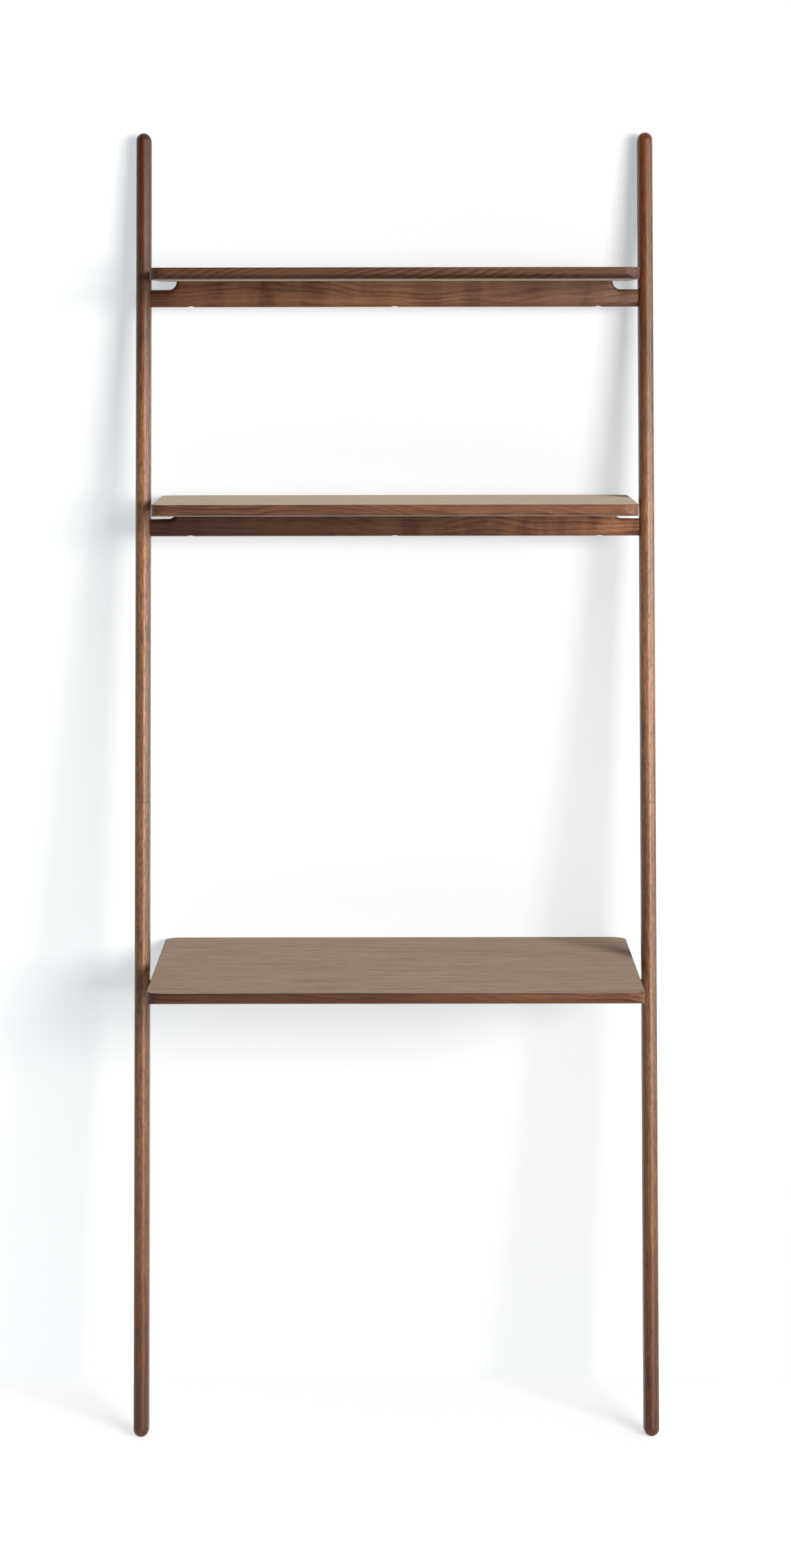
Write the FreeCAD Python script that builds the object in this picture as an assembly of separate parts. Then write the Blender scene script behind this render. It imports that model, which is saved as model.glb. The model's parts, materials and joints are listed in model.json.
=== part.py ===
import FreeCAD, Part
import math
import os

# A ladder desk: two poles lean on a wall and carry three crossbars, and each crossbar carries one board.
# X runs along the boards, Y towards the wall and Z up. The floor is at zero, and the origin is midway
# between the desk's front edge and the wall, midway between the poles.

# Boards: a deep desk top and two shallow shelves
board_width = 765.0
board_thickness = 19.0
desk_depth = 500.0
shelf_depth = 310.0
corner_radius = 24.0
edge_ease = 1.0
under_round_height = 10.0
under_round_depth = 18.0
under_round_blend = 0.1

# Heights of the board tops, the pole joint and the pole tips
desk_height = 750.0
desk_to_middle_shelf = 737.5
middle_to_top_shelf = 369.5
top_shelf_to_pole_tip = 219.5
desk_to_pole_joint = 250.0

# Poles: flat sides, full round front and back, domed ends
pole_width = 24.0
pole_depth = 44.0
pole_joint_ease = 0.4
pole_web = 7.0
lean_degrees = 8.0
side_gap = 13.0
wall_gap = 1.0
foot_trim = 3.5

# Crossbars: a raised middle under the board, a round belly, and a notch at each end
bar_thickness = 24.0
bar_end_height = 28.0
bar_belly_flat = 1.0
notch_depth = 14.0
notch_length = 41.5
notch_rise = 1.0
notch_round = 8.0
tenon_height = 14.0
tenon_thickness = 12.0

# Bolts through the poles into barrel nuts in the crossbars
bolt_diameter = 6.0
bolt_head_diameter = 10.0
bolt_head_height = 6.0
bolt_head_sink = 1.0
bolt_socket = 5.0
bolt_socket_depth = 3.0
bolt_past_nut = 7.0
nut_diameter = 10.0
nut_setback = 30.0
nut_cover = 4.0

# Screws up through the crossbars into threaded inserts in the boards
screw_diameter = 5.0
screw_head_diameter = 9.5
screw_head_height = 3.5
screw_socket = 3.0
screw_socket_depth = 2.0
screw_grip = 22.0
screw_inset = 23.0
driver_room = 1.5
insert_diameter = 9.0
insert_length = 12.0
insert_tip_gap = 1.0

# Steel tongues that join the pole halves
tongue_length = 120.0
tongue_depth = 16.0
tongue_thickness = 5.0
tongue_edge = 15.0
tongue_near_screw = 20.0
tongue_screw_diameter = 5.0
tongue_screw_head_diameter = 9.0
tongue_screw_head_height = 3.0
tongue_screw_sink = 1.0
tongue_screw_socket = 3.0
tongue_screw_socket_depth = 1.6

# Steel angles that tie each board to the wall
bracket_width = 50.0
bracket_leg = 20.0
bracket_thickness = 2.0
bracket_bend = 2.0
bracket_hole_spacing = 28.0
bracket_inset = 130.0
wall_hole_diameter = 5.0
bracket_screw_diameter = 4.0
bracket_screw_length = 14.0
bracket_screw_head_diameter = 7.5
bracket_screw_head_height = 2.5
bracket_screw_socket = 2.5
bracket_screw_socket_depth = 1.3

# Rubber pads under the feet and behind the pole tips
pad_diameter = 10.0
pad_thickness = 3.0
pad_proud = 1.0
bumper_diameter = 10.0
bumper_depth = 6.0
bumper_drop = 34.0

# Clearances
fit_gap = 0.15
thread_gap = 0.1
hole_room = 0.3
head_room = 0.6
hole_end_gap = 1.0
overrun = 2.0
tolerance = 0.001
oval_pull = 0.5523

# Derived sizes and places
vector = FreeCAD.Vector
lean = math.radians(lean_degrees)
sides = {"left": -1, "right": 1}
along_x = vector(1, 0, 0)
along_y = vector(0, 1, 0)
upwards = vector(0, 0, 1)

wall_y = desk_depth / 2
middle_height = desk_height + desk_to_middle_shelf
top_height = middle_height + middle_to_top_shelf
levels = {
    "desk": (desk_height, desk_depth),
    "middle": (middle_height, shelf_depth),
    "top": (top_height, shelf_depth),
}
board_names = {"desk": "desk_top", "middle": "shelf_middle", "top": "shelf_top"}

pole_gap = board_width + 2 * side_gap
pole_inner_x = pole_gap / 2
pole_x = pole_inner_x + pole_width / 2
pole_outer_x = pole_inner_x + pole_width
pole_tip_radius = pole_width / 2
tip_spine = pole_depth / 2 - pole_tip_radius
foot_z = pad_proud - foot_trim + pole_tip_radius * (1 - math.cos(lean)) + tip_spine * math.sin(lean)
tip_height = top_height + top_shelf_to_pole_tip
pole_length = (tip_height - foot_z) / math.cos(lean)
tip_reach = (pole_length - pole_tip_radius) * math.sin(lean) + tip_spine * math.cos(lean) + pole_tip_radius
foot_y = wall_y - wall_gap - tip_reach
joint_along = (desk_height + desk_to_pole_joint - foot_z) / math.cos(lean)

bar_height = bar_end_height + notch_depth
bar_belly_radius = (bar_thickness - bar_belly_flat) / 2
notch_x = pole_inner_x - notch_length
notch_radius = notch_depth - notch_rise
bolt_sink = bolt_head_height + bolt_head_sink
mortise_depth = pole_width - bolt_sink - pole_web
tenon_length = mortise_depth - fit_gap
nut_x = pole_inner_x - nut_setback
bolt_tip_x = nut_x - bolt_past_nut
nut_length = bar_thickness - 2 * nut_cover
screw_xs = (screw_inset - notch_x, 0, notch_x - screw_inset)
screw_length = screw_grip + insert_length - insert_tip_gap

tongue_screw_depth = tongue_screw_head_height + tongue_screw_sink
tongue_screw_length = (pole_width + tongue_thickness) / 2 - tongue_screw_depth
tongue_screw_far = tongue_length / 2 - tongue_edge
tongue_screw_steps = (-tongue_screw_far, -tongue_near_screw, tongue_near_screw, tongue_screw_far)

bracket_x = board_width / 2 - bracket_inset
bracket_hole_set = (bracket_leg + bracket_thickness + bracket_bend) / 2
bracket_hole_xs = (-bracket_hole_spacing / 2, bracket_hole_spacing / 2)


def axis_y(height):
    """Where the poles' middle line is, towards the wall, at a height above the floor."""
    return foot_y + (height - foot_z) * math.tan(lean)


def underside(level):
    """Height of a board's underside."""
    return levels[level][0] - board_thickness


def bar_bottom(level):
    """Height of the underside of a level's crossbar."""
    return underside(level) - bar_height


def bolt_z(level):
    """Height of the bolts that hold a level's crossbar."""
    return bar_bottom(level) + bar_end_height / 2


def bar_y(level):
    """Where a level's crossbar crosses the poles."""
    return axis_y(bolt_z(level))


def rod(radius, length, base, direction):
    return Part.makeCylinder(radius, length, base, direction)


def centred_box(size, centre):
    """A box of the given size about a point."""
    return Part.makeBox(size.x, size.y, size.z, centre - size * 0.5)


def level_edges(shape, height):
    """The edges of a shape that lie flat at one height."""
    found = []
    for edge in shape.Edges:
        bounds = edge.BoundBox
        if abs(bounds.ZMin - height) < tolerance and abs(bounds.ZMax - height) < tolerance:
            found.append(edge)
    return found


def socket_screw(diameter, length, head_diameter, head_height, socket, socket_depth):
    """A screw with a hexagon socket, its shank up from the origin and its head below it."""
    shank = rod(diameter / 2, length, vector(0, 0, 0), upwards)
    head = rod(head_diameter / 2, head_height, vector(0, 0, -head_height), upwards)
    corner = socket / 2 / math.cos(math.pi / 6)
    turns = [math.pi / 3 * step for step in range(7)]
    outline = [vector(corner * math.cos(turn), corner * math.sin(turn), 0) for turn in turns]
    recess = Part.Face(Part.makePolygon(outline)).extrude(vector(0, 0, socket_depth))
    recess.translate(vector(0, 0, -head_height))
    return shank.fuse(head).removeSplitter().cut(recess)


def moved_by(shape, placement):
    """A copy of a shape, moved on from where it is."""
    moved = shape.copy()
    moved.Placement = placement.multiply(shape.Placement)
    return moved


def pointed(shape, place, direction):
    """A copy of a shape made along Z, turned to point another way at a place."""
    return moved_by(shape, FreeCAD.Placement(place, FreeCAD.Rotation(upwards, direction)))


def cut_all(shape, tools):
    """A solid with every tool cut out of it."""
    return shape.cut(tools)


# Poles

def stadium(width, depth):
    """A section with flat sides and a full round front and back."""
    half = width / 2
    straight = depth / 2 - half
    corners = [vector(half, -straight, 0), vector(half, straight, 0)]
    corners += [vector(-half, straight, 0), vector(-half, -straight, 0)]
    outline = [
        Part.LineSegment(corners[0], corners[1]),
        Part.Arc(corners[1], vector(0, depth / 2, 0), corners[2]),
        Part.LineSegment(corners[2], corners[3]),
        Part.Arc(corners[3], vector(0, -depth / 2, 0), corners[0]),
    ]
    return Part.Face(Part.Wire([side.toShape() for side in outline]))


def leaned(shape, side):
    """A shape made upright on a pole's own axis, moved to its place on the leaning pole."""
    foot = vector(sides[side] * pole_x, foot_y, foot_z)
    return moved_by(shape, FreeCAD.Placement(foot, FreeCAD.Rotation(along_x, -lean_degrees)))


def dome():
    """The rounded tip of a pole, standing on the origin: a half round with a quarter ball at each end."""
    middle = rod(pole_tip_radius, 2 * tip_spine, vector(0, -tip_spine, 0), along_y)
    below = centred_box(vector(pole_width, pole_depth, pole_width), upwards * (-pole_width / 2))
    back = Part.makeSphere(pole_tip_radius, vector(0, 0, 0), upwards, 0, 90, 180)
    front = back.copy()
    front.rotate(vector(0, 0, 0), upwards, 180)
    back.translate(vector(0, tip_spine, 0))
    front.translate(vector(0, -tip_spine, 0))
    return middle.cut(below).fuse([back, front])


def pole_half(length):
    """Half a pole, upright, eased where it meets the other half at the origin and domed at its tip."""
    straight = length - pole_tip_radius
    tip = dome()
    tip.translate(vector(0, 0, straight))
    shaft = stadium(pole_width, pole_depth).extrude(vector(0, 0, straight))
    whole = shaft.fuse(tip).removeSplitter()
    return whole.makeChamfer(pole_joint_ease, level_edges(whole, 0))


def tongue_screw_place(side, step):
    """The seat of a tongue screw's head, in the pole's own frame."""
    return vector(sides[side] * (pole_width / 2 - tongue_screw_depth), 0, joint_along + step)


def tongue_cuts(side):
    """The slot and screw holes for the tongue, at their place on the pole."""
    room = vector(fit_gap, fit_gap, fit_gap) * 2
    slot_size = vector(tongue_thickness, tongue_depth, tongue_length) + room
    cuts = [centred_box(slot_size, vector(0, 0, joint_along))]
    outwards = along_x * sides[side]
    for step in tongue_screw_steps:
        seat = tongue_screw_place(side, step)
        cuts.append(rod(tongue_screw_head_diameter / 2 + head_room, pole_width, seat, outwards))
        cuts.append(rod(tongue_screw_diameter / 2 + hole_room, tongue_screw_length, seat, outwards * -1))
    return [leaned(cut, side) for cut in cuts]


def crossbar_cuts(side, level):
    """The mortise, bolt hole and sunk seat for one end of a crossbar."""
    outwards = along_x * sides[side]
    room = vector(2 * mortise_depth, tenon_thickness + 2 * fit_gap, tenon_height + 2 * fit_gap)
    middle = vector(sides[side] * pole_inner_x, bar_y(level), bolt_z(level))
    seat = vector(sides[side] * (pole_outer_x - bolt_sink), bar_y(level), bolt_z(level))
    return [
        centred_box(room, middle),
        rod(bolt_diameter / 2 + hole_room, pole_width, seat, outwards * -1),
        rod(bolt_head_diameter / 2 + head_room, pole_width, seat, outwards),
    ]


def floor_cuts(side):
    """What is trimmed off the foot, and the socket for its pad."""
    foot = vector(sides[side] * pole_x, axis_y(0), 0)
    ground = foot + upwards * (pad_proud - pole_depth)
    below = centred_box(vector(pole_depth, pole_depth, pole_depth) * 2, ground)
    return [below, rod(pad_diameter / 2 + fit_gap, pad_thickness, foot, upwards)]


def bumper_start(side):
    """The bottom of a wall bumper's socket behind the pole tip."""
    height = tip_height - bumper_drop
    back = axis_y(height) + pole_depth / 2 / math.cos(lean)
    return vector(sides[side] * pole_x, back - bumper_depth, height)


def lower_pole(side):
    tools = tongue_cuts(side) + crossbar_cuts(side, "desk") + floor_cuts(side)
    half = pole_half(joint_along)
    half.rotate(vector(0, 0, 0), along_y, 180)
    half.translate(vector(0, 0, joint_along))
    return cut_all(leaned(half, side), tools)


def upper_pole(side):
    socket = rod(bumper_diameter / 2 + fit_gap, pole_depth, bumper_start(side), along_y)
    tools = tongue_cuts(side) + crossbar_cuts(side, "middle") + crossbar_cuts(side, "top") + [socket]
    half = pole_half(pole_length - joint_along)
    half.translate(vector(0, 0, joint_along))
    return cut_all(leaned(half, side), tools)


def tongue(side):
    """The steel tongue in the middle of a pole, with its tapped holes."""
    bar = centred_box(vector(tongue_thickness, tongue_depth, tongue_length), vector(0, 0, joint_along))
    holes = []
    for step in tongue_screw_steps:
        seat = tongue_screw_place(side, step)
        inwards = along_x * -sides[side]
        holes.append(rod(tongue_screw_diameter / 2 + thread_gap, pole_width, seat, inwards))
    return leaned(cut_all(bar, holes), side)


def tongue_screws(side):
    screw = socket_screw(
        tongue_screw_diameter,
        tongue_screw_length,
        tongue_screw_head_diameter,
        tongue_screw_head_height,
        tongue_screw_socket,
        tongue_screw_socket_depth,
    )
    inwards = along_x * -sides[side]
    screws = [pointed(screw, tongue_screw_place(side, step), inwards) for step in tongue_screw_steps]
    return leaned(Part.makeCompound(screws), side)


def foot_pad(side):
    return rod(pad_diameter / 2, pad_thickness, vector(sides[side] * pole_x, axis_y(0), 0), upwards)


def wall_bumper(side):
    start = bumper_start(side)
    return rod(bumper_diameter / 2, wall_y - start.y, start, along_y)


# Crossbars

def notched_outline():
    """The crossbar's front outline, as a face in the XZ plane with its middle at X zero."""
    turn = notch_radius * (1 - math.sqrt(0.5))
    right = [
        vector(pole_inner_x, 0, 0),
        vector(pole_inner_x, 0, bar_end_height),
        vector(notch_x + notch_radius, 0, bar_end_height),
        vector(notch_x, 0, bar_end_height + notch_radius),
        vector(notch_x, 0, bar_height),
    ]
    left = [vector(-point.x, 0, point.z) for point in right]
    bend = vector(notch_x + turn, 0, bar_end_height + turn)
    edges = [Part.LineSegment(left[0], right[0])]
    for points, middle in ((right, bend), (left, vector(-bend.x, 0, bend.z))):
        edges.append(Part.LineSegment(points[0], points[1]))
        edges.append(Part.LineSegment(points[1], points[2]))
        edges.append(Part.Arc(points[2], middle, points[3]))
        edges.append(Part.LineSegment(points[3], points[4]))
    edges.append(Part.LineSegment(right[4], left[4]))
    return Part.Face(Part.Wire(Part.__sortEdges__([edge.toShape() for edge in edges])))


def notch_edges(blank):
    """The front and back edges of both notches."""
    found = []
    for edge in blank.Edges:
        bounds = edge.BoundBox
        in_notch = bounds.ZMin > bar_end_height - tolerance and bounds.ZMin < bar_height - tolerance
        if in_notch and bounds.YLength < tolerance:
            found.append(edge)
    return found


def belly_edges(blank):
    """The two long bottom edges."""
    return [edge for edge in level_edges(blank, 0) if edge.BoundBox.YLength < tolerance]


def crossbar_blank():
    """A crossbar with its rounded edges and tenons, standing on Z zero."""
    blank = notched_outline().extrude(vector(0, bar_thickness, 0))
    blank.translate(vector(0, -bar_thickness / 2, 0))
    blank = blank.makeFillet(bar_belly_radius, belly_edges(blank))
    blank = blank.makeFillet(min(notch_round, bar_belly_radius), notch_edges(blank))
    tenon_size = vector(pole_gap + 2 * tenon_length, tenon_thickness, tenon_height)
    tenons = centred_box(tenon_size, vector(0, 0, bar_end_height / 2))
    return blank.fuse(tenons).removeSplitter()


def crossbar(level):
    bar = crossbar_blank()
    bar.translate(vector(0, bar_y(level), bar_bottom(level)))
    holes = []
    for sign in sides.values():
        outwards = along_x * sign
        tip = vector(sign * (bolt_tip_x - hole_end_gap), bar_y(level), bolt_z(level))
        holes.append(rod(bolt_diameter / 2 + hole_room, pole_gap, tip, outwards))
        nut_front = vector(sign * nut_x, bar_y(level) - nut_length / 2 - fit_gap, bolt_z(level))
        holes.append(rod(nut_diameter / 2 + fit_gap, bar_thickness, nut_front, along_y))
    for x in screw_xs:
        seat = vector(x, bar_y(level), underside(level) - screw_grip)
        holes.append(rod(screw_head_diameter / 2 + driver_room, bar_height, seat, upwards * -1))
        holes.append(rod(screw_diameter / 2 + hole_room, bar_height, seat, upwards))
    return cut_all(bar, holes)


def crossbar_bolts(level):
    length = pole_outer_x - bolt_sink - bolt_tip_x
    bolt = socket_screw(
        bolt_diameter,
        length,
        bolt_head_diameter,
        bolt_head_height,
        bolt_socket,
        bolt_socket_depth,
    )
    bolts = []
    for sign in sides.values():
        seat = vector(sign * (pole_outer_x - bolt_sink), bar_y(level), bolt_z(level))
        bolts.append(pointed(bolt, seat, along_x * -sign))
    return Part.makeCompound(bolts)


def barrel_nuts(level):
    nuts = []
    for sign in sides.values():
        middle = vector(sign * nut_x, bar_y(level), bolt_z(level))
        barrel = rod(nut_diameter / 2, nut_length, middle - along_y * (nut_length / 2), along_y)
        start = middle - along_x * nut_diameter
        nuts.append(barrel.cut(rod(bolt_diameter / 2 + thread_gap, 2 * nut_diameter, start, along_x)))
    return Part.makeCompound(nuts)


# Boards

def upright_edges(blank):
    """The four upright corner edges of a board."""
    return [edge for edge in blank.Edges if edge.BoundBox.ZLength > board_thickness - tolerance]


def under_round(front_y, bottom_z):
    """What a long cutter takes off under a board's front edge, a quarter of an oval that dies out on the corners."""
    top = vector(-board_width, front_y - under_round_blend, bottom_z + under_round_height)
    rear = vector(-board_width, front_y + under_round_depth, bottom_z - under_round_blend)
    corner = vector(-board_width, top.y, rear.z)
    oval = Part.BezierCurve()
    oval.setPoles([top, top + (corner - top) * oval_pull, rear + (corner - rear) * oval_pull, rear])
    below = [
        rear,
        vector(-board_width, rear.y, bottom_z - overrun),
        vector(-board_width, front_y - overrun, bottom_z - overrun),
        vector(-board_width, front_y - overrun, top.z),
        top,
    ]
    section = Part.Face(Part.Wire([oval.toShape()] + Part.makePolygon(below).Edges))
    return section.extrude(vector(2 * board_width, 0, 0))


def bracket_screw_places(level):
    """Where the bracket screws enter a board's underside."""
    places = []
    for sign in sides.values():
        for x in bracket_hole_xs:
            places.append(vector(sign * bracket_x + x, wall_y - bracket_hole_set, underside(level)))
    return places


def board(level):
    height, depth = levels[level]
    front_y = wall_y - depth
    corner = vector(-board_width / 2, front_y, underside(level))
    blank = Part.makeBox(board_width, depth, board_thickness, corner)
    blank = blank.makeFillet(corner_radius, upright_edges(blank))
    blank = blank.makeFillet(edge_ease, level_edges(blank, height))
    tools = [under_round(front_y, underside(level))]
    for x in screw_xs:
        mouth = vector(x, bar_y(level), underside(level))
        tools.append(rod(insert_diameter / 2 + thread_gap, insert_length + hole_end_gap, mouth, upwards))
    bite = bracket_screw_length - bracket_thickness + hole_end_gap
    for mouth in bracket_screw_places(level):
        tools.append(rod(bracket_screw_diameter / 2 + thread_gap, bite, mouth, upwards))
    return cut_all(blank, tools)


def board_inserts(level):
    inserts = []
    for x in screw_xs:
        mouth = vector(x, bar_y(level), underside(level))
        sleeve = rod(insert_diameter / 2, insert_length, mouth, upwards)
        inserts.append(sleeve.cut(rod(screw_diameter / 2 + thread_gap, insert_length, mouth, upwards)))
    return Part.makeCompound(inserts)


def board_screws(level):
    screw = socket_screw(
        screw_diameter,
        screw_length,
        screw_head_diameter,
        screw_head_height,
        screw_socket,
        screw_socket_depth,
    )
    seats = [vector(x, bar_y(level), underside(level) - screw_grip) for x in screw_xs]
    return Part.makeCompound([pointed(screw, seat, upwards) for seat in seats])


# Wall brackets

def wall_bracket(level, side):
    """A bent steel angle in the corner between the wall and a board's underside."""
    corner = vector(sides[side] * bracket_x - bracket_width / 2, wall_y, underside(level))
    reach = -bracket_leg
    inner = -bracket_thickness
    outline = [(0, 0), (reach, 0), (reach, inner), (inner, inner), (inner, reach), (0, reach), (0, 0)]
    section = Part.Face(Part.makePolygon([corner + vector(0, y, z) for y, z in outline]))
    angle = section.extrude(vector(bracket_width, 0, 0))
    for distance, radius in ((0, bracket_bend + bracket_thickness), (inner, bracket_bend)):
        bend = [
            edge
            for edge in level_edges(angle, corner.z + distance)
            if abs(edge.BoundBox.YMin - corner.y - distance) < tolerance
        ]
        angle = angle.makeFillet(radius, bend)
    middle = corner + along_x * (bracket_width / 2)
    holes = []
    for x in bracket_hole_xs:
        wall_hole = middle + vector(x, -bracket_leg, -bracket_hole_set)
        holes.append(rod(wall_hole_diameter / 2, 2 * bracket_leg, wall_hole, along_y))
        board_hole = middle + vector(x, -bracket_hole_set, -bracket_leg)
        holes.append(rod(bracket_screw_diameter / 2 + hole_room, 2 * bracket_leg, board_hole, upwards))
    return cut_all(angle, holes)


def bracket_screws(level):
    screw = socket_screw(
        bracket_screw_diameter,
        bracket_screw_length,
        bracket_screw_head_diameter,
        bracket_screw_head_height,
        bracket_screw_socket,
        bracket_screw_socket_depth,
    )
    seats = [place - upwards * bracket_thickness for place in bracket_screw_places(level)]
    return Part.makeCompound([pointed(screw, seat, upwards) for seat in seats])


def pieces():
    """Every piece of the desk by its name."""
    made = {}
    for side in sides:
        made["pole_lower_" + side] = lower_pole(side)
        made["pole_upper_" + side] = upper_pole(side)
        made["pole_tongue_" + side] = tongue(side)
        made["tongue_screws_" + side] = tongue_screws(side)
        made["foot_pad_" + side] = foot_pad(side)
        made["wall_bumper_" + side] = wall_bumper(side)
    for level in levels:
        made["crossbar_" + level] = crossbar(level)
        made["crossbar_bolts_" + level] = crossbar_bolts(level)
        made["barrel_nuts_" + level] = barrel_nuts(level)
        made[board_names[level]] = board(level)
        made["board_inserts_" + level] = board_inserts(level)
        made["board_screws_" + level] = board_screws(level)
        made["bracket_screws_" + level] = bracket_screws(level)
        for side in sides:
            made["wall_bracket_" + level + "_" + side] = wall_bracket(level, side)
    return made


os.makedirs("parts", exist_ok=True)
for name, shape in pieces().items():
    shape.exportStep("parts/" + name + ".step")
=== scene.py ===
import json
import math

import bpy
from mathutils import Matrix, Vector


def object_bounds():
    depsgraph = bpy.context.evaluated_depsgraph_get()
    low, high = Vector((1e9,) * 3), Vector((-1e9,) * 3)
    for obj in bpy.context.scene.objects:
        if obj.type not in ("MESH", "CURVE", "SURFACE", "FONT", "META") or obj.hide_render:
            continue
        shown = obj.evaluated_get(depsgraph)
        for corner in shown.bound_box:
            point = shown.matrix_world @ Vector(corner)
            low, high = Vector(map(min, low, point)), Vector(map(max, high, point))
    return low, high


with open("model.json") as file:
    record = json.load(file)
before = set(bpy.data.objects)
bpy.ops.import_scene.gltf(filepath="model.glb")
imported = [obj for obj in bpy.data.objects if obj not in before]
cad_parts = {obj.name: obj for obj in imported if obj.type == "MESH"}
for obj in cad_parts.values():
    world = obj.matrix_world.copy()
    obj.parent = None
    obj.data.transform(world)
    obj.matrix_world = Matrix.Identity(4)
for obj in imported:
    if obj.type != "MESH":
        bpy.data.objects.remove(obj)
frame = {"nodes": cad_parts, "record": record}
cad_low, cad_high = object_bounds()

# Axes, and the sockets of a Mix node that hold colours
X, Y, Z = range(3)
MIX_FIRST = 6
MIX_SECOND = 7
MIX_RESULT = 2

# The photograph's height and the viewpoint worked out from its perspective, in pixels, metres and degrees
PHOTO_HEIGHT = 2576
FOCAL_PIXELS = 5916.6
OPTICAL_ROW = 1036.0
EYE_X = 0.0014
EYE_Y = -5.6854
EYE_HEIGHT = 1.7836
LOOK_DOWN = 5.014
ROLL = 0.09
SENSOR_MILLIMETRES = 36.0

# The white set: sizes in metres, and how far its own glow lifts it to white
FLOOR_SIZE = 60.0
FLOOR_COLOUR = (0.8, 0.8, 0.8, 1.0)
FLOOR_TINT = (0.99, 1.0, 1.0)
FLOOR_GLOW = 0.615
FLOOR_FAR_GLOW = 0.4
FLOOR_FAR_SPAN = (1.5, 4.0)
FLOOR_LEFT_GLOW = 0.06
FLOOR_LEFT_SPAN = (0.5, -0.8)
WALL_WIDTH = 9.0
WALL_HEIGHT = 5.0
WALL_CLEARANCE = 0.0005
WALL_COLOUR = (0.6, 0.6, 0.6, 1.0)
WALL_TINT = (0.94, 0.99, 1.03)
WALL_GLOW = 0.445
WALL_GLOW_SLOPE = -0.12
WALL_GLOW_SPREAD = 0.03
WALL_GLOW_HEIGHT = 1.25
BLACK = (0.0, 0.0, 0.0, 1.0)
WHITE = (1.0, 1.0, 1.0, 1.0)

# Lights, in metres and watts
ROOM_LEVEL = 0.25
ROOM_SLOPE = 0.75
ROOM_TINT = (0.88, 0.97, 1.03, 1.0)
KEY_LIGHT = {
    "place": (3.3, -5.5, 2.15),
    "aim": (0.0, 0.0, 1.2),
    "width": 3.0,
    "height": 2.0,
    "power": 400.0,
    "colour": (1.0, 0.97, 0.92),
}
SIDE_CARD = {
    "place": (3.4, -0.9, 1.8),
    "aim": (0.0, 0.1, 1.3),
    "width": 1.4,
    "height": 2.0,
    "power": 75.0,
    "colour": (1.0, 0.95, 0.88),
    "diffuse": False,
}

# Grain: directions, lengths in millimetres, and patterns in cells a millimetre along, across and through it
MILLIMETRES = 1000.0
LEAN = math.radians(8.0)
ALONG_BOARD = (0.0, 0.0, 0.0)
ALONG_POLE = (LEAN, math.pi / 2, 0.0)
LOG_STEP = (731.0, 57.0, 23.0)
HEART_DISTANCE = 70.0
RING_WANDER_CELLS = (0.003, 0.006, 0.006)
RING_UNEVEN_CELLS = (0.004, 0.05, 0.05)
RING_UNEVEN = 1.5
RING_LIFT = 0.25
LATE_WOOD = (0.3, 0.93)
LATE_WOOD_END = (0.93, 1.0)
LATE_WOOD_PATCHES = (0.3, 0.62)
FIBRE_DETAIL = 4.0
FIBRE_CRISPNESS = 0.6
BAND_CELLS = (0.0035, 0.06, 0.06)
SMOKE_CELLS = (0.022, 0.006, 0.006)
FIGURE_CELLS = (0.035, 0.014, 0.014)
FIGURE_DETAIL = 3.0
FIGURE_EDGES = (0.42, 0.68)
FIGURE_PATCH_CELLS = (0.004, 0.001, 0.001)
FIGURE_PATCH_DETAIL = 1.0
FIGURE_PATCH_EDGES = (0.4, 0.6)
MIDDLE_TONE = 0.5
TONE_PLACES = (0.15, MIDDLE_TONE, 0.85)
PORE_SHADE = 0.75
KNOT_DEPTH = 0.8
KNOT_RAGGED_SHARE = 0.8
KNOT_CORE_SHARE = 0.35
FIBRE_RELIEF = 0.25
UNEVEN_POLISH = 0.1
BUMP_STRENGTH = 0.12
SHEEN_TINT = (1.0, 0.9, 0.78, 1.0)
SHEEN_ROUGHNESS = 0.33
VENEER_EDGES = (0.93, 0.995)

# Heights in metres: the grain's relief, and the band of a board's rounded-under edge that takes painted
# light and shade
BUMP_HEIGHT = 0.0003
ROUND_HEIGHT = 0.01

# Walnuts, with the colours that they have where a piece's painted shade multiplier is 1
POLE_WOOD = {
    "dark": (0.12, 0.044, 0.016),
    "mid": (0.3, 0.128, 0.054),
    "light": (0.44, 0.22, 0.11),
    "ring_step": 7.0,
    "ring_slope": 0.015,
    "rings": 0.14,
    "bend": 30.0,
    "bands": 0.6,
    "fibre": 1.35,
    "fibre_cells": (0.035, 0.4, 0.4),
    "smoke": 0.25,
    "figure": 0.0,
    "flecks": 0.5,
    "fleck_cells": (0.1, 0.55, 0.55),
    "fleck_edges": (0.46, 0.66),
    "roughness": 0.35,
    "shine": 0.46,
    "sheen": 0.0,
}
BAR_WOOD = dict(
    POLE_WOOD,
    dark=(0.115, 0.041, 0.018),
    mid=(0.27, 0.112, 0.053),
    light=(0.385, 0.18, 0.094),
    ring_slope=0.02,
    ring_step=9.0,
    rings=0.3,
    bend=110.0,
    fibre=0.65,
    fibre_cells=(0.011, 0.42, 0.42),
    smoke=0.8,
    figure=0.24,
    flecks=0.32,
    fleck_cells=(0.05, 0.7, 0.7),
    roughness=0.44,
    shine=0.2,
)
# A darker copy of the poles' walnut: painted shade on the boards' front edges
LIPPING_WOOD = dict(
    POLE_WOOD,
    dark=(0.09, 0.031, 0.014),
    mid=(0.21, 0.08, 0.037),
    light=(0.3, 0.13, 0.066),
    ring_slope=0.08,
    ring_step=8.0,
    rings=0.34,
    bend=90.0,
    fibre=0.7,
    fibre_cells=(0.013, 0.42, 0.42),
    flecks=0.32,
    fleck_cells=(0.05, 0.7, 0.7),
    roughness=0.44,
    shine=0.2,
)
FLAME_LIPPING = dict(
    LIPPING_WOOD,
    ring_slope=-0.25,
    ring_step=7.0,
    rings=0.5,
    bend=50.0,
)
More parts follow.
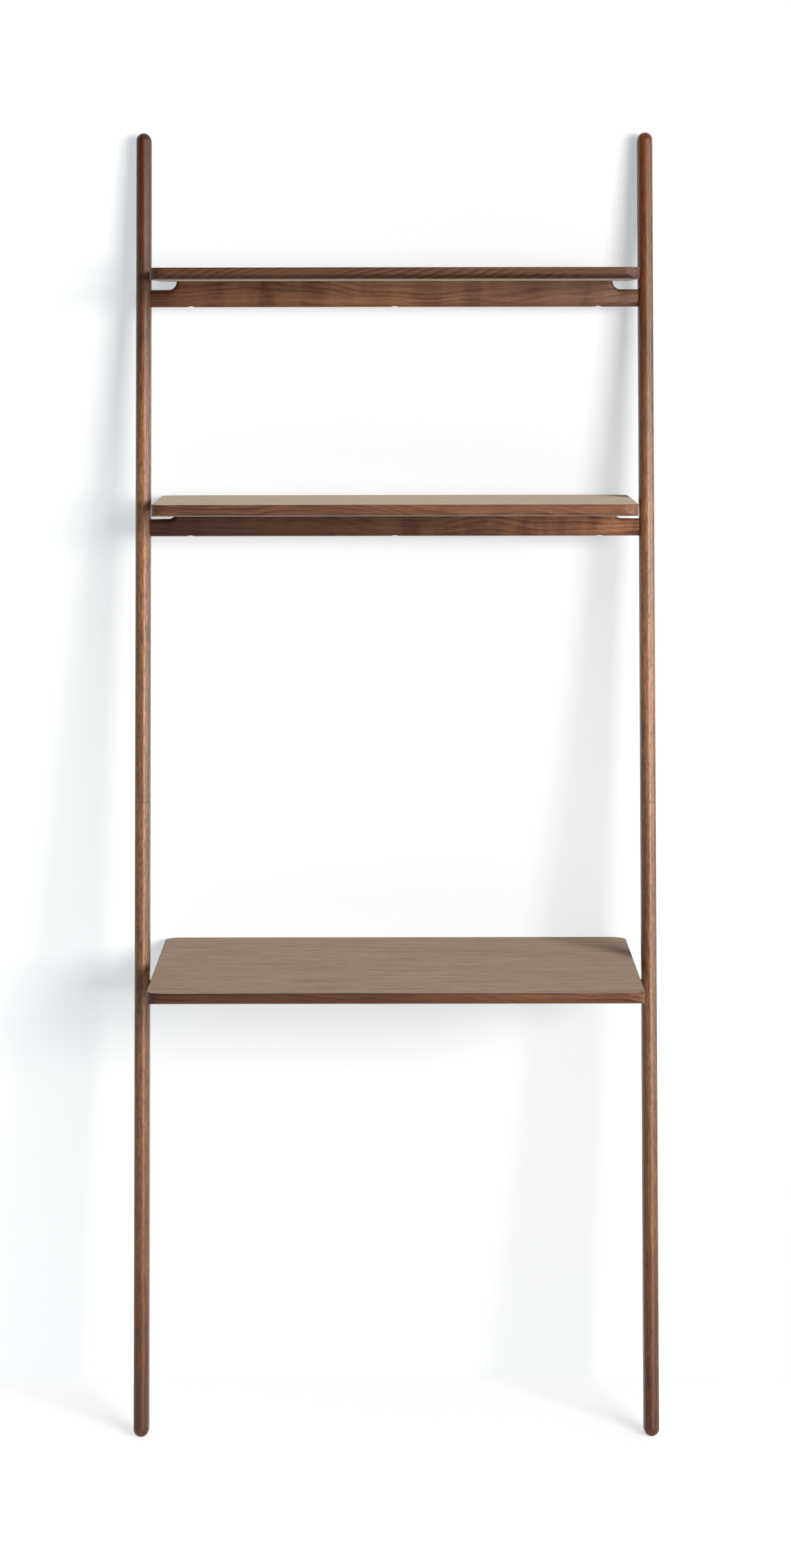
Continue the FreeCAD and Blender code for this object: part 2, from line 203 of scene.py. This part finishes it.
VENEER_WOOD = dict(
    POLE_WOOD,
    dark=(0.15, 0.064, 0.026),
    mid=(0.43, 0.251, 0.149),
    light=(0.56, 0.352, 0.222),
    rings=0.03,
    bands=0.35,
    fibre=1.5,
    fibre_cells=(0.01, 0.19, 0.19),
    smoke=0.0,
    flecks=0.5,
    fleck_cells=(0.04, 0.36, 0.36),
    fleck_edges=(0.54, 0.67),
    roughness=0.7,
    shine=0.05,
    sheen=0.34,
)
# A lighter copy of the veneer for the middle shelf: painted sheen for its top, seen at a grazing angle
SHEEN_PAINTED_VENEER = dict(
    VENEER_WOOD,
    dark=(0.18, 0.08, 0.034),
    mid=(0.52, 0.321, 0.186),
    light=(0.65, 0.42, 0.255),
)

# Painted light and shade, which multiply the wood's colours: up a pole, from left to right elsewhere, and
# under a board's edge
# Painted shade: darker towards both ends of each pole, where the lamps' light falls off
POLE_PAINTED_SHADE = {
    "left": [
        (0.0, (0.33, 0.17, 0.05)),
        (0.15, (0.66, 0.54, 0.34)),
        (0.3, (0.8, 0.78, 0.7)),
        (0.6, 0.85),
        (0.68, 1.0),
        (0.77, 1.0),
        (0.86, (0.47, 0.39, 0.3)),
        (1.0, (0.26, 0.11, 0.03)),
    ],
    "right": [
        (0.0, (0.34, 0.19, 0.06)),
        (0.15, (0.58, 0.44, 0.28)),
        (0.3, (0.66, 0.65, 0.62)),
        (0.58, 1.0),
        (0.68, 0.87),
        (0.86, (0.46, 0.34, 0.22)),
        (1.0, (0.66, 0.39, 0.15)),
    ],
}
# Painted shade along each bar, under the boards: darker towards the left, and the top bar darker at both
# ends
BAR_PAINTED_SHADE = {
    "desk": [(0.0, 0.5), (1.0, 0.75)],
    "middle": [(0.0, (0.21, 0.165, 0.165)), (0.5, (0.41, 0.38, 0.4)), (0.75, 0.82), (1.0, 1.0)],
    "top": [(0.0, (0.52, 0.46, 0.46)), (0.5, (0.88, 0.96, 1.0)), (1.0, (0.56, 0.66, 0.84))],
}
# Painted shade on the boards' level faces: darker towards the right end, where the right pole's shadow is
# reflected
VENEER_PAINTED_SHADE = [(0.55, 1.0), (0.8, 0.89)]
# Each board's painted shade along its lipping, and its under-edge factor: painted light on the middle shelf,
# painted shade on the top shelf
BOARDS = {
    "desk_top": {
        "lipping": LIPPING_WOOD,
        "veneer": VENEER_WOOD,
        "painted_shade": [(0.0, (0.38, 0.34, 0.31)), (0.5, (0.45, 0.4, 0.38)), (1.0, (0.93, 0.93, 0.97))],
        "under": None,
    },
    "shelf_middle": {
        "lipping": LIPPING_WOOD,
        "veneer": SHEEN_PAINTED_VENEER,
        "painted_shade": [(0.0, 0.59), (0.5, 0.75), (1.0, 1.0)],
        "under": (1.2, 1.42, 1.7),
    },
    "shelf_top": {
        "lipping": FLAME_LIPPING,
        "veneer": VENEER_WOOD,
        "painted_shade": [(0.0, (0.45, 0.44, 0.39)), (1.0, (0.45, 0.47, 0.5))],
        "under": (0.58, 0.57, 0.55),
    },
}

# Knots in the poles: a centre and a radius, in metres
KNOTS = {
    "pole_lower_left": [((-0.4075, -0.0725, 0.101), 0.004)],
    "pole_lower_right": [((0.402, 0.0178, 0.731), 0.0036)],
}

# Metals and rubber
OXIDE_COLOUR = (0.06, 0.06, 0.065)
OXIDE_ROUGHNESS = 0.38
ZINC_COLOUR = (0.62, 0.62, 0.63)
ZINC_ROUGHNESS = 0.32
BRASS_COLOUR = (0.72, 0.5, 0.22)
BRASS_ROUGHNESS = 0.3
POLISH_CELLS = (0.35, 0.35, 0.35)
POLISH_DETAIL = 3.0
POLISH_SPREAD = 0.2
RUBBER_COLOUR = (0.025, 0.025, 0.026)
RUBBER_ROUGHNESS = 0.7
BLOOM_CELLS = (1.2, 1.2, 1.2)
BLOOM_DETAIL = 3.0
BLOOM_LIFT = 2.0
BLOOM_ROUGHNESS = 0.2


class Signal:
    """A shader socket. Sums and products of signals add Math nodes to its tree."""

    def __init__(self, tree, socket):
        self.tree = tree
        self.socket = socket

    def node(self, kind, settings=None, inputs=None, output=0):
        """Adds a node, sets its settings, fills its sockets with values or links, and gives one output."""
        made = self.tree.nodes.new(kind)
        for name, value in (settings or {}).items():
            if name == "stops":
                set_stops(made.color_ramp, value)
            else:
                setattr(made, name, value)
        for name, value in (inputs or {}).items():
            if isinstance(value, Signal):
                self.tree.links.new(value.socket, made.inputs[name])
            else:
                made.inputs[name].default_value = value
        return Signal(self.tree, made.outputs[output])

    def math(self, operation, *terms):
        return self.node("ShaderNodeMath", {"operation": operation}, dict(enumerate(terms)))

    def __add__(self, other):
        return self.math("ADD", self, other)

    def __radd__(self, other):
        return self.math("ADD", other, self)

    def __sub__(self, other):
        return self.math("SUBTRACT", self, other)

    def __rsub__(self, other):
        return self.math("SUBTRACT", other, self)

    def __mul__(self, other):
        return self.math("MULTIPLY", self, other)

    def __rmul__(self, other):
        return self.math("MULTIPLY", other, self)

    def __truediv__(self, other):
        return self.math("DIVIDE", self, other)

    def __pow__(self, other):
        return self.math("POWER", self, other)


def set_stops(ramp, stops):
    """Gives a colour ramp its stops, each a place and a grey level or a colour."""
    while len(ramp.elements) < len(stops):
        ramp.elements.new(1.0)
    for element, (place, level) in zip(ramp.elements, stops):
        element.position = place
        colour = level if isinstance(level, tuple) else (level, level, level)
        element.color = opaque(colour)


def opaque(colour):
    """A colour with its alpha."""
    return (*colour, 1.0)


def new_material(name):
    """A bare material, its object coordinates and its output node."""
    material = bpy.data.materials.new(name)
    material.use_nodes = True
    tree = material.node_tree
    tree.nodes.clear()
    output = tree.nodes.new("ShaderNodeOutputMaterial")
    start = tree.nodes.new("ShaderNodeTexCoord")
    return material, Signal(tree, start.outputs["Object"]), output


def show(surface, output):
    """Links a finished surface to its material's or world's output node."""
    surface.tree.links.new(surface.socket, output.inputs["Surface"])


def stretched(place, scales):
    """A place or a colour with each of its three numbers scaled by its own number."""
    return place.node("ShaderNodeVectorMath", {"operation": "MULTIPLY"}, {0: place, 1: scales})


def in_millimetres(place):
    """A place in metres given in millimetres."""
    return stretched(place, (MILLIMETRES,) * 3)


def part_of(place, axis):
    """One coordinate of a place."""
    return place.node("ShaderNodeSeparateXYZ", None, {0: place}, axis)


def noise(place, cells, detail=2.0, crispness=0.5):
    """Soft noise from 0 to 1, with its own number of cells a millimetre along each axis."""
    inputs = {"Vector": stretched(place, cells), "Scale": 1.0, "Detail": detail, "Roughness": crispness}
    return place.node("ShaderNodeTexNoise", None, inputs)


def centred(signal):
    """A signal from 0 to 1 moved to run from -0.5 to 0.5."""
    return signal - 0.5


def between(signal, low, high):
    """A signal rising smoothly from 0 at low to 1 at high."""
    inputs = {"Value": signal, "From Min": low, "From Max": high}
    settings = {"interpolation_type": "SMOOTHSTEP", "clamp": True}
    return signal.node("ShaderNodeMapRange", settings, inputs)


def blend(factor, first, second):
    """Two colours mixed by a factor."""
    settings = {"data_type": "RGBA", "blend_type": "MIX"}
    inputs = {0: factor, MIX_FIRST: first, MIX_SECOND: second}
    return factor.node("ShaderNodeMix", settings, inputs, MIX_RESULT)


def growth_lines(grain, look):
    """Late-wood lines, 1 where they are darkest, bending around a heart that runs beside the piece."""
    wander = noise(grain, RING_WANDER_CELLS) * look["bend"]
    across = part_of(grain, Y) + wander
    through = part_of(grain, Z) + wander + HEART_DISTANCE
    radius = (across ** 2.0 + through ** 2.0) ** 0.5
    uneven = noise(grain, RING_UNEVEN_CELLS)
    rings = (radius + part_of(grain, X) * look["ring_slope"]) / look["ring_step"] + uneven * RING_UNEVEN
    ring = rings.math("FRACT", rings)
    line = between(ring, *LATE_WOOD) * (1.0 - between(ring, *LATE_WOOD_END))
    return line * between(uneven, *LATE_WOOD_PATCHES)


def figured(grain):
    """Dark waves across the grain, in patches."""
    patch = between(noise(grain, FIGURE_PATCH_CELLS, FIGURE_PATCH_DETAIL), *FIGURE_PATCH_EDGES)
    return between(noise(grain, FIGURE_CELLS, FIGURE_DETAIL), *FIGURE_EDGES) * patch


def wood_surface(place, grain, look, painted_shade, knots):
    """One face's walnut: growth lines, fibre, smoky bands across the grain, open pores and knots, with
    painted shade multiplied in.
    """
    fibre = centred(noise(grain, look["fibre_cells"], FIBRE_DETAIL, FIBRE_CRISPNESS))
    band = centred(noise(grain, BAND_CELLS))
    smoke = centred(noise(grain, SMOKE_CELLS))
    tone = MIDDLE_TONE + fibre * look["fibre"] + band * look["bands"] + smoke * look["smoke"]
    tone = tone - growth_lines(grain, look) * look["rings"] + look["rings"] * RING_LIFT
    if look["figure"]:
        tone = tone - figured(grain) * look["figure"]
    stops = list(zip(TONE_PLACES, (look["dark"], look["mid"], look["light"])))
    colour = tone.node("ShaderNodeValToRGB", {"stops": stops}, {0: tone})
    pore = between(noise(grain, look["fleck_cells"]), *look["fleck_edges"])
    deep = opaque(level * PORE_SHADE for level in look["dark"])
    # Painted shade: the piece's ramp multiplies its colour; on a board's edge it also holds painted light
    colour = stretched(blend(pore * look["flecks"], colour, deep), painted_shade)
    for centre, radius in knots:
        gap = place.node("ShaderNodeVectorMath", {"operation": "DISTANCE"}, {0: place, 1: centre}, "Value")
        ragged = gap + fibre * (radius * KNOT_RAGGED_SHARE)
        core = 1.0 - between(ragged, radius * KNOT_CORE_SHARE, radius)
        colour = blend(core * KNOT_DEPTH, colour, deep)
    relief = fibre * FIBRE_RELIEF - pore
    bump = {"Strength": BUMP_STRENGTH, "Distance": BUMP_HEIGHT, "Height": relief}
    inputs = {
        "Base Color": colour,
        "Roughness": look["roughness"] + (fibre + pore) * UNEVEN_POLISH,
        "Specular IOR Level": look["shine"],
        "Sheen Weight": look["sheen"],
        "Sheen Roughness": SHEEN_ROUGHNESS,
        "Sheen Tint": SHEEN_TINT,
        "Normal": relief.node("ShaderNodeBump", None, bump),
    }
    return colour.node("ShaderNodeBsdfPrincipled", None, inputs)


def painted_shade_ramp(place, axis, start, stop, levels):
    """Painted shade along one axis of the piece, as multipliers of its colour."""
    span = {"Value": part_of(place, axis), "From Min": start, "From Max": stop}
    run = place.node("ShaderNodeMapRange", None, span)
    return run.node("ShaderNodeValToRGB", {"stops": levels}, {0: run})


def grain_of(place, turn, seed):
    """Millimetres along, across and through the grain, in a stretch of the log that is the piece's own."""
    shift = tuple(seed * step for step in LOG_STEP)
    inputs = {"Vector": place, "Location": shift, "Rotation": turn, "Scale": (MILLIMETRES,) * 3}
    return place.node("ShaderNodeMapping", {"vector_type": "POINT"}, inputs)


def solid_walnut(name, turn, seed, look, painted_shade, knots=()):
    """Satin solid walnut with its grain, and painted shade along the piece."""
    material, place, output = new_material(name)
    grain = grain_of(place, turn, seed)
    show(wood_surface(place, grain, look, painted_shade_ramp(place, *painted_shade), knots), output)
    return material


def board_walnut(name, seed, board, span, bottom):
    """A board's walnut: veneer on its level faces, lipping on its edges, painted shade along it, and painted
    light and shade on its rounded-under edge.
    """
    material, place, output = new_material(name)
    grain = grain_of(place, ALONG_BOARD, seed)
    # Painted shade along the board's lipping
    lipping_light_and_shade = painted_shade_ramp(place, *span, board["painted_shade"])
    # Painted light on the middle shelf's rounded-under edge and painted shade on the top shelf's
    if board["under"]:
        low = 1.0 - between(part_of(place, Z), bottom + ROUND_HEIGHT / 2, bottom + ROUND_HEIGHT)
        lipping_light_and_shade = blend(low, lipping_light_and_shade, stretched(lipping_light_and_shade, board["under"]))
    lipping = wood_surface(place, grain, board["lipping"], lipping_light_and_shade, ())
    # The veneer's painted shade along the board
    veneer = wood_surface(place, grain, board["veneer"], painted_shade_ramp(place, *span, VENEER_PAINTED_SHADE), ())
    facing = part_of(place.node("ShaderNodeTexCoord", None, None, "Normal"), Z)
    level = between(facing.math("ABSOLUTE", facing), *VENEER_EDGES)
    show(place.node("ShaderNodeMixShader", None, {0: level, 1: lipping, 2: veneer}), output)
    return material


def metal(name, colour, roughness):
    """Plated steel or brass with a faint uneven polish."""
    material, place, output = new_material(name)
    cloud = centred(noise(in_millimetres(place), POLISH_CELLS, POLISH_DETAIL))
    inputs = {
        "Base Color": opaque(colour),
        "Metallic": 1.0,
        "Roughness": roughness + cloud * POLISH_SPREAD,
    }
    show(place.node("ShaderNodeBsdfPrincipled", None, inputs), output)
    return material


def rubber(name, colour, roughness):
    """Matt moulded rubber with a fine bloom."""
    material, place, output = new_material(name)
    bloom = noise(in_millimetres(place), BLOOM_CELLS, BLOOM_DETAIL)
    tint = blend(bloom, opaque(colour), opaque(level * BLOOM_LIFT for level in colour))
    inputs = {"Base Color": tint, "Roughness": roughness + bloom * BLOOM_ROUGHNESS}
    show(place.node("ShaderNodeBsdfPrincipled", None, inputs), output)
    return material


def finish_node(name, material):
    """Gives a carried-over piece its finish."""
    frame["nodes"][name].material_slots[0].material = material


def set_finishes():
    """Every piece's own finish."""
    pole_span = (Z, cad_low.z, cad_high.z)
    board_span = (X, cad_low.x, cad_high.x)
    seed = 0
    # The poles' painted shade runs up their height
    for side, levels in POLE_PAINTED_SHADE.items():
        for half in ("lower", "upper"):
            seed += 1
            piece = "pole_" + half + "_" + side
            painted_shade = (*pole_span, levels)
            knots = KNOTS.get(piece, ())
            finish_node(piece, solid_walnut("walnut_" + piece, ALONG_POLE, seed, POLE_WOOD, painted_shade, knots))
    # Each bar's painted shade runs from left to right
    for level, levels in BAR_PAINTED_SHADE.items():
        seed += 1
        wood = solid_walnut("walnut_bar_" + level, ALONG_BOARD, seed, BAR_WOOD, (*board_span, levels))
        finish_node("crossbar_" + level, wood)
    for piece, board in BOARDS.items():
        seed += 1
        bottom = min(corner[Z] for corner in frame["nodes"][piece].bound_box)
        finish_node(piece, board_walnut("walnut_" + piece, seed, board, board_span, bottom))
    finishes = {
        "dark_steel": metal("black_oxide_steel", OXIDE_COLOUR, OXIDE_ROUGHNESS),
        "zinc_steel": metal("zinc_plated_steel", ZINC_COLOUR, ZINC_ROUGHNESS),
        "insert_brass": metal("turned_brass", BRASS_COLOUR, BRASS_ROUGHNESS),
        "pad_rubber": rubber("pad_rubber", RUBBER_COLOUR, RUBBER_ROUGHNESS),
    }
    for part in frame["record"]["subparts"]:
        if part["material_slot"] in finishes:
            finish_node(part["node"], finishes[part["material_slot"]])


def wall_glow(place):
    """The lift that evens out the lamps' fall-off over the wall, from right to left and up and down."""
    upward = part_of(place, Z) - WALL_GLOW_HEIGHT
    lift = WALL_GLOW + part_of(place, X) * WALL_GLOW_SLOPE + upward ** 2.0 * WALL_GLOW_SPREAD
    return lift.math("MAXIMUM", lift, 0.0)


def floor_glow(place):
    """The lift that keeps the floor white away from the lamps and on the left."""
    distance = place.node("ShaderNodeVectorMath", {"operation": "LENGTH"}, {0: place}, "Value")
    far = between(distance, *FLOOR_FAR_SPAN)
    leftward = between(part_of(place, X), *FLOOR_LEFT_SPAN)
    return FLOOR_GLOW + far * FLOOR_FAR_GLOW + leftward * FLOOR_LEFT_GLOW


def white_stage(name, glow, tint, colour, bounces):
    """A white sheet that keeps its shadows and is clear from behind. It may throw light on the desk."""
    material, place, output = new_material(name)
    level = glow(place)
    camera = place.node("ShaderNodeLightPath", None, None, "Is Camera Ray")
    mirrored = place.node("ShaderNodeLightPath", None, None, "Is Glossy Ray")
    through = place.node("ShaderNodeLightPath", None, None, "Is Transmission Ray")
    seen = camera.math("MAXIMUM", camera, mirrored)
    seen = seen.math("MAXIMUM", seen, through)
    shares = {channel: level * share for channel, share in enumerate(tint)}
    lit = place.node("ShaderNodeCombineColor", None, shares)
    dim = place.node("ShaderNodeEmission", None, {"Color": BLACK, "Strength": 1.0})
    bright = place.node("ShaderNodeEmission", None, {"Color": lit, "Strength": 1.0})
    lift = place.node("ShaderNodeMixShader", None, {0: seen, 1: dim, 2: bright})
    matt = place.node("ShaderNodeBsdfDiffuse", None, {"Color": colour})
    front = place.node("ShaderNodeAddShader", None, {0: matt, 1: lift})
    back = place.node("ShaderNodeNewGeometry", None, None, "Backfacing")
    clear = place.node("ShaderNodeBsdfTransparent")
    solid = 1.0 - camera * back if bounces else seen * (1.0 - back)
    show(place.node("ShaderNodeMixShader", None, {0: solid, 1: clear, 2: front}), output)
    return material


def stage_sheet(name, corners, material):
    """One flat sheet of the set."""
    mesh = bpy.data.meshes.new(name)
    mesh.from_pydata(corners, [], [tuple(range(len(corners)))])
    mesh.materials.append(material)
    sheet = bpy.data.objects.new(name, mesh)
    bpy.context.collection.objects.link(sheet)


def set_stage():
    """The white floor, and the white wall that the poles lean on."""
    reach = FLOOR_SIZE / 2
    floor = [(-reach, -reach, 0), (reach, -reach, 0), (reach, reach, 0), (-reach, reach, 0)]
    stage_sheet("floor", floor, white_stage("white_floor", floor_glow, FLOOR_TINT, FLOOR_COLOUR, True))
    wall_y = cad_high.y + WALL_CLEARANCE
    half = WALL_WIDTH / 2
    foot = [(-half, wall_y, 0), (half, wall_y, 0)]
    head = [(half, wall_y, WALL_HEIGHT), (-half, wall_y, WALL_HEIGHT)]
    stage_sheet("wall", foot + head, white_stage("white_wall", wall_glow, WALL_TINT, WALL_COLOUR, False))


def soft_light(name, place, aim, width, height, power, colour, diffuse=True):
    """A rectangular soft light that the camera doesn't see, or a card that shows only as a reflection."""
    lamp = bpy.data.lights.new(name, "AREA")
    lamp.shape = "RECTANGLE"
    lamp.size = width
    lamp.size_y = height
    lamp.energy = power
    lamp.color = colour
    light = bpy.data.objects.new(name, lamp)
    light.location = place
    light.rotation_euler = (Vector(aim) - Vector(place)).to_track_quat("-Z", "Y").to_euler()
    light.visible_camera = False
    light.visible_diffuse = diffuse
    bpy.context.collection.objects.link(light)


def set_lights():
    """A white room, brighter on the right, a wide key from the front right, and a card to reflect."""
    world = bpy.data.worlds.new("white_room")
    bpy.context.scene.world = world
    world.use_nodes = True
    tree = world.node_tree
    tree.nodes.clear()
    camera = Signal(tree, tree.nodes.new("ShaderNodeLightPath").outputs["Is Camera Ray"])
    sideways = part_of(camera.node("ShaderNodeTexCoord", None, None, "Generated"), X)
    level = (1.0 + sideways * ROOM_SLOPE) * ROOM_LEVEL
    room = camera.node("ShaderNodeBackground", None, {"Color": ROOM_TINT, "Strength": level})
    white = camera.node("ShaderNodeBackground", None, {"Color": WHITE, "Strength": 1.0})
    shown = camera.node("ShaderNodeMixShader", None, {0: camera, 1: room, 2: white})
    show(shown, tree.nodes.new("ShaderNodeOutputWorld"))
    soft_light("key_light", **KEY_LIGHT)
    soft_light("side_card", **SIDE_CARD)


def set_camera():
    """The photograph's viewpoint."""
    lens = bpy.data.cameras.new("photo_camera")
    lens.sensor_width = SENSOR_MILLIMETRES
    lens.lens = FOCAL_PIXELS / PHOTO_HEIGHT * SENSOR_MILLIMETRES
    lens.shift_y = (OPTICAL_ROW - PHOTO_HEIGHT / 2) / PHOTO_HEIGHT
    camera = bpy.data.objects.new("photo_camera", lens)
    camera.location = (EYE_X, EYE_Y, EYE_HEIGHT)
    camera.rotation_euler = (math.radians(90.0 - LOOK_DOWN), math.radians(ROLL), 0.0)
    bpy.context.collection.objects.link(camera)
    bpy.context.scene.camera = camera


set_finishes()
set_stage()
set_lights()
set_camera()
bpy.context.scene.view_settings.view_transform = "Standard"
